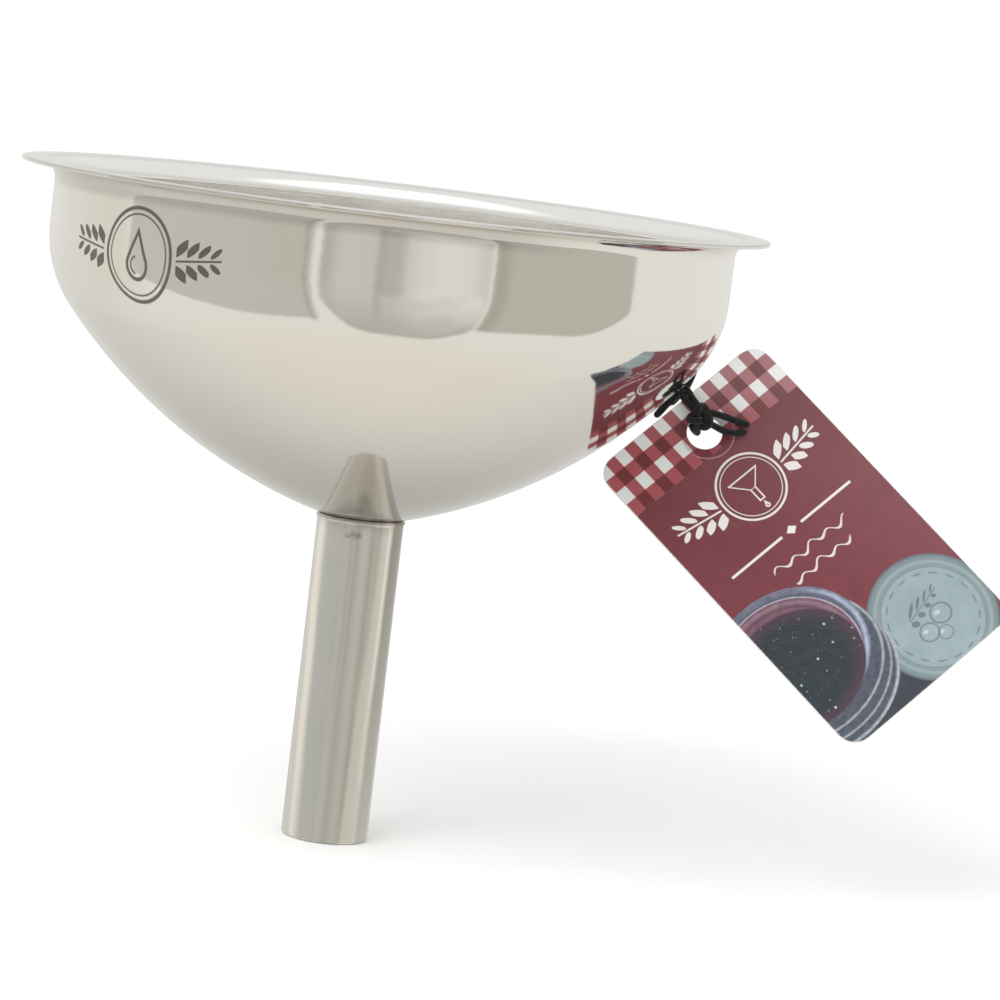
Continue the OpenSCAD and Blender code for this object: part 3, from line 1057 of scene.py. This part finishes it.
def cord_mesh(name, runs):
    """Tubes along the runs, with the length along the cord and the turn round it as its UVs."""
    work = bmesh.new()
    layer = work.loops.layers.uv.new("cord")
    for run in runs:
        points, faces = tube(run, CORD_R, CORD_SIDES)
        verts = [work.verts.new(p) for p in points]
        middles = rounded_ends(run, CORD_R)[0]
        lengths = [0.0]
        for before, here in zip(middles, middles[1:]):
            lengths.append(lengths[-1] + (here - before).length)
        for face in faces:
            made = work.faces.new([verts[i] for i in face])
            made.smooth = True
            places = [i % CORD_SIDES for i in face]
            wraps = 0 in places and CORD_SIDES - 1 in places
            for corner, i, place in zip(made.loops, face, places):
                turn = 1.0 if wraps and place == 0 else place / CORD_SIDES
                corner[layer].uv = (lengths[i // CORD_SIDES], turn)
    mesh = bpy.data.meshes.new(name)
    work.to_mesh(mesh)
    work.free()
    return mesh


def strap_path():
    """The loop from the card's top edge round the side handle's strap and back."""
    low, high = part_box("side_handle")
    top = RIM_Z / MM
    outer = max(Vector(v.co[:2]).length for v in NODES["side_handle"].data.vertices) / MM
    azimuth = degrees(atan2(low.y + high.y, low.x + high.x))
    level = 0.5 * (low.z + high.z) / MM
    inside = outer - 3.2
    return [
        around(59.4, 9.6, top - 30.4),
        around(62.4, 13, top - 24.5),
        around(68, 22, top - 18),
        around(76, 36, level + 0.5),
        around(inside, azimuth - 6, level + 0.5),
        around(inside, azimuth, level),
        around(inside + 0.8, azimuth + 5.5, level - 0.5),
        around(outer + 0.4, azimuth + 7.2, level - 0.7),
        around(outer + 2.2, azimuth + 5, level - 1),
        around(outer + 2.2, azimuth, level - 1.2),
        around(outer + 0.8, azimuth - 6, level - 2.5),
        around(74, 33, top - 23),
        around(61, 21.5, top - 31),
        around(58.2, 13.5, top - 33.4),
    ]


def on_card(points):
    """Points given in millimetres in the card's frame, in the row frame."""
    return [CARD @ (Vector(p) * MM) for p in points]


def cord_loop():
    """The whole loop as one cord: up from the knot, round the handle's strap and down again."""
    cx, cz = CROSSING.x / MM, CROSSING.z / MM
    rise, fall = (
        on_card([
            (cx - 0.8 + 0.65 * side, ON_FRONT - 1.4, -3.2),
            (cx - 0.5 + 0.95 * side, ON_FRONT - 0.6, -1.1),
            (cx + side, ON_FRONT + 0.15, 0.45),
            (cx + side, 0.15, cz + 0.35),
        ])
        for side in (-0.7, 0.7)
    )
    slack = on_card([
        (cx - 3.2, 0.4, 1.5), (cx - 5.5, 0.8, 1.3), (cx - 6.2, 1.5, 1.4),
        (cx - 5.0, 2.3, 1.8), (cx - 2.5, 2.9, 2.4),
    ])
    path = smooth_path(rise + slack + strap_path() + fall[::-1], 10)
    mesh = cord_mesh("cord_loop", [path])
    made = stand_in("cord_loop", mesh, cord_black, "tag_cord")
    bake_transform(made)


def knot_strand():
    """An overhand knot: three crossing turns packed into a ball on the card's front."""
    at = Vector((1.4, ON_FRONT - 1.4, -5.3))
    size = 0.73
    steps = 96
    open_turn = radians(345)
    path = []
    for k in range(steps + 1):
        t = open_turn * k / steps
        turn = Vector((sin(t) + 2 * sin(2 * t), 1.15 * sin(3 * t), cos(t) - 2 * cos(2 * t)))
        path.append(at + size * turn)
    return on_card(path)


def cord_knot():
    """The knot with its two loose ends and the strand that passes through the card's hole."""
    over = ON_FRONT - 1.4
    cx = CROSSING.x / MM
    hole_x, hole_top = HOLE.x / MM, (HOLE.z + HOLE_R - CORD_R) / MM - 0.1
    through = on_card([
        (hole_x + 0.2, over, hole_top + 0.4), (hole_x - 0.9, over + 0.3, hole_top - 1.2),
        (hole_x - 1.0, 0, hole_top - 1.6), (hole_x - 0.4, -ON_FRONT, hole_top + 0.6),
        (cx - 0.4, -ON_FRONT, -1.2), (cx - 0.2, -ON_FRONT, 0.6), (cx, 0.0, 1.5), (cx, ON_FRONT, 0.6),
    ])
    upper = on_card([
        (2.0, over, -5.0), (3.6, over, -6.2), (4.9, over + 0.3, -7.9),
        (6.1, over + 0.7, -9.9), (7.4, over + 1.1, -11.8),
    ])
    lower = on_card([
        (1.2, over, -6.0), (2.2, over + 0.2, -8.2), (3.0, over + 0.5, -10.1),
        (4.3, over + 0.8, -11.6), (6.0, over + 1.1, -12.6),
    ])
    paths = [knot_strand()] + [smooth_path(p, 8) for p in (through, upper, lower)]
    mesh = cord_mesh("cord_knot_braid", paths)
    stand_in("cord_knot_braid", mesh, cord_black, "cord_knot", "tag")


cord_loop()
cord_knot()


# ---- studio


def studio_world():
    """A white room, in which only reflections see the light tent."""
    world = bpy.data.worlds.new("studio")
    bpy.context.scene.world = world
    world.use_nodes = True
    world.node_tree.nodes.clear()
    s = Nodes(world.node_tree)
    x, y, z = s.xyz(s.node("TexCoord").outputs["Generated"])
    azimuth = x.atan2(-y) * DEGREES
    elevation = z.arcsin() * DEGREES
    glossy = s.node("Background")
    s.link(tent_light(s, x, y, z, azimuth, elevation), glossy.inputs["Color"])
    plain = s.node("Background")
    plain.inputs["Color"].default_value = (1, 1, 1, 1)
    paths = s.node("LightPath")
    choose = s.node("MixShader")
    s.link(paths.outputs["Is Glossy Ray"], choose.inputs[0])
    s.link(plain.outputs[0], choose.inputs[1])
    s.link(glossy.outputs[0], choose.inputs[2])
    output = s.node("OutputWorld")
    s.link(choose.outputs[0], output.inputs["Surface"])


def tent_light(s, x, y, z, azimuth, elevation):
    """The light tent's brightness in each direction; azimuth 0 is the camera's side."""
    soft = s.noise(s.vector(x, y, z), 2.2, detail=2.0)
    side = azimuth.above(-135, 25) * azimuth.below(-97, 4) * elevation.above(-30, 12)
    shade_up = radians(-42)
    toward = (y * cos(shade_up) + z * sin(shade_up)).most(0.0).power(6.0)
    horizon = y.above(0.985, 0.012) * elevation.below(-8, 2)
    left_foot = 42.5 - (azimuth + 38).most(0.0) * 0.06
    left_foot = left_foot - (-45 - azimuth).most(0.0).power(2.0) * 0.009
    left = azimuth.above(-96, 1.0) * azimuth.below(-25.5, 0.8)
    left = left * (elevation + left_foot).above(0, 1.2)
    left_grey = s.mix(
        (azimuth * 0.012 + soft).ramp(-0.6, 0.5), (0.62, 0.625, 0.60), (0.58, 0.57, 0.51)
    )
    right_foot = 36.0 - (azimuth - 40).most(0.0) * 0.22
    right_foot = right_foot - (azimuth - 70).most(0.0).power(2.0) * 0.05
    right = azimuth.above(34.5, 0.8) * azimuth.below(88, 1.0)
    right = right * (elevation + right_foot).above(0, 1.2)
    seam_left = azimuth.near(-27.6, 0.7, 0.7) * elevation.above(-44, 2)
    seam_right = azimuth.above(34.8, 0.8) * azimuth.below(39.5, 2.5) * elevation.above(-36, 2)
    low = elevation.below(40, 10)
    tent = s.layers(
        s.mix(elevation.ramp(-80, -2), (0.885, 0.85, 0.785), (0.905, 0.905, 0.865)),
        (side * 0.8, (0.79, 0.78, 0.71)),
        (toward * 0.9, (0.46, 0.465, 0.44)),
        (horizon * 0.6, (0.2, 0.2, 0.19)),
        (left * low, left_grey),
        (right * low, (0.555, 0.56, 0.50)),
        (middle_block(azimuth, elevation) * low, block_colour(s, azimuth, elevation)),
        (seam_left * low * 0.7, (0.42, 0.40, 0.35)),
        (seam_right * low * 0.6, (0.42, 0.39, 0.34)),
    )
    lamp = elevation.ramp(22, 42) * (1.0 - elevation.ramp(74, 89))
    lamp = lamp * (1.0 - abs(azimuth).ramp(38, 72))
    sky = s.layers(
        s.mix(abs(azimuth).ramp(179, 150), (0.80, 0.80, 0.78), (0.70, 0.70, 0.67)),
        (elevation.ramp(6, 26), (0.86, 0.86, 0.845)),
        (lamp, (1.45, 1.45, 1.45)),
    )
    return s.mix(elevation.above(4, 3), tent, sky)


def middle_block(azimuth, elevation):
    """Where the pale block between the two grey panels shows: a box with a rounded foot."""
    across = (azimuth - 5.3) / 28.6
    foot = 50.0 - abs(across).power(4.0) * (22.0 - across * 7.0)
    return abs(across).below(0.98, 0.03) * (elevation + foot).above(0, 1.5)


def block_colour(s, azimuth, elevation):
    """Blotchy pale lobes: two side by side with a dim fold between and a shaded foot."""
    cloud = s.noise(s.vector(azimuth * 0.06, elevation * 0.05, 3.0), 1.6)
    pale = s.mix(azimuth.ramp(0, 15), (0.67, 0.66, 0.63), (0.86, 0.84, 0.80))
    fold = azimuth.near(-3.0, 1.0, 1.6) * elevation.above(-34, 12)
    knot = (azimuth - 0.5).power(2.0) / 22 + (elevation + 8).power(2.0) / 70
    rim = (azimuth - 5).power(2.0) / 760 + (elevation + 20).power(2.0) / 900
    return s.layers(
        pale,
        (cloud.ramp(0.42, 0.62) * 0.35, (0.62, 0.62, 0.57)),
        ((-elevation).ramp(8, 54) * 0.85, (0.51, 0.49, 0.44)),
        (azimuth.below(-18, 3) * 0.6, (0.50, 0.51, 0.45)),
        (fold * 0.6, (0.40, 0.385, 0.355)),
        (knot.below(1.0, 0.8) * 0.55, (0.44, 0.44, 0.41)),
        (rim.above(1.05, 0.12) * 0.3, (0.44, 0.42, 0.37)),
    )


def studio_floor():
    """A wide pale floor just under the spout that fades into the white room."""
    half = 12.0
    gap = 0.2 * MM
    white_from, white_to = 0.3, 1.2
    z = CAD_BOX[0].z - gap
    corners = [(-half, -half, z), (half, -half, z), (half, half, z), (-half, half, z)]
    mesh = mesh_from("studio_floor", corners, [(0, 1, 2, 3)])
    s = Shader("floor_paper")
    place = s.position()
    x, y = s.xyz(place)[:2]
    grain = s.noise(place, 60.0)
    s.set(Base_Color=s.mix(grain, (0.975, 0.975, 0.97), (0.99, 0.99, 0.985)), Roughness=0.9)
    white = s.node("Emission")
    far = s.node("MixShader")
    s.link(length(x, y).ramp(white_from, white_to), far.inputs[0])
    s.link(s.bsdf.outputs[0], far.inputs[1])
    s.link(white.outputs[0], far.inputs[2])
    s.link(far.outputs[0], s.tree.nodes["Material Output"].inputs["Surface"])
    floor = placed("studio_floor", mesh)
    mesh.materials.append(s.material)
    floor.visible_glossy = False


def key_light():
    """One soft round lamp, in front, left and above, aimed at the model's middle."""
    light = bpy.data.lights.new("key", "AREA")
    light.shape = "DISK"
    light.size = 0.8
    light.energy = 6.0
    made = placed("key", light)
    made.location = Vector((-0.5, -0.7, 0.9))
    ahead = 0.5 * (CAD_BOX[0] + CAD_BOX[1]) - made.location
    made.rotation_euler = ahead.to_track_quat("-Z", "Y").to_euler()
    made.visible_glossy = False


def camera():
    """The viewpoint: far back, a little above the rim, and rolled a little."""
    distance = 10 * RIM_R
    rise = 0.41 * RIM_R
    pitch, yaw, roll = (radians(a) for a in (6.765, 2.1, 6.9))
    data = bpy.data.cameras.new("camera")
    data.lens = 134.5
    data.clip_start = 0.01
    made = placed("camera", data)
    level = cos(pitch)
    ahead = Vector((sin(yaw) * level, cos(yaw) * level, -sin(pitch)))
    right = Vector((cos(yaw), -sin(yaw), 0))
    up = right.cross(ahead)
    axes = Matrix((
        right * cos(roll) + up * sin(roll),
        up * cos(roll) - right * sin(roll),
        -ahead,
    )).transposed()
    made.matrix_world = Matrix.Translation((0, -distance, RIM_Z + rise)) @ axes.to_4x4()
    bpy.context.scene.camera = made


studio_world()
studio_floor()
key_light()
camera()
bpy.context.scene.view_settings.view_transform = "Standard"
bpy.context.scene.cycles.glossy_bounces = 10
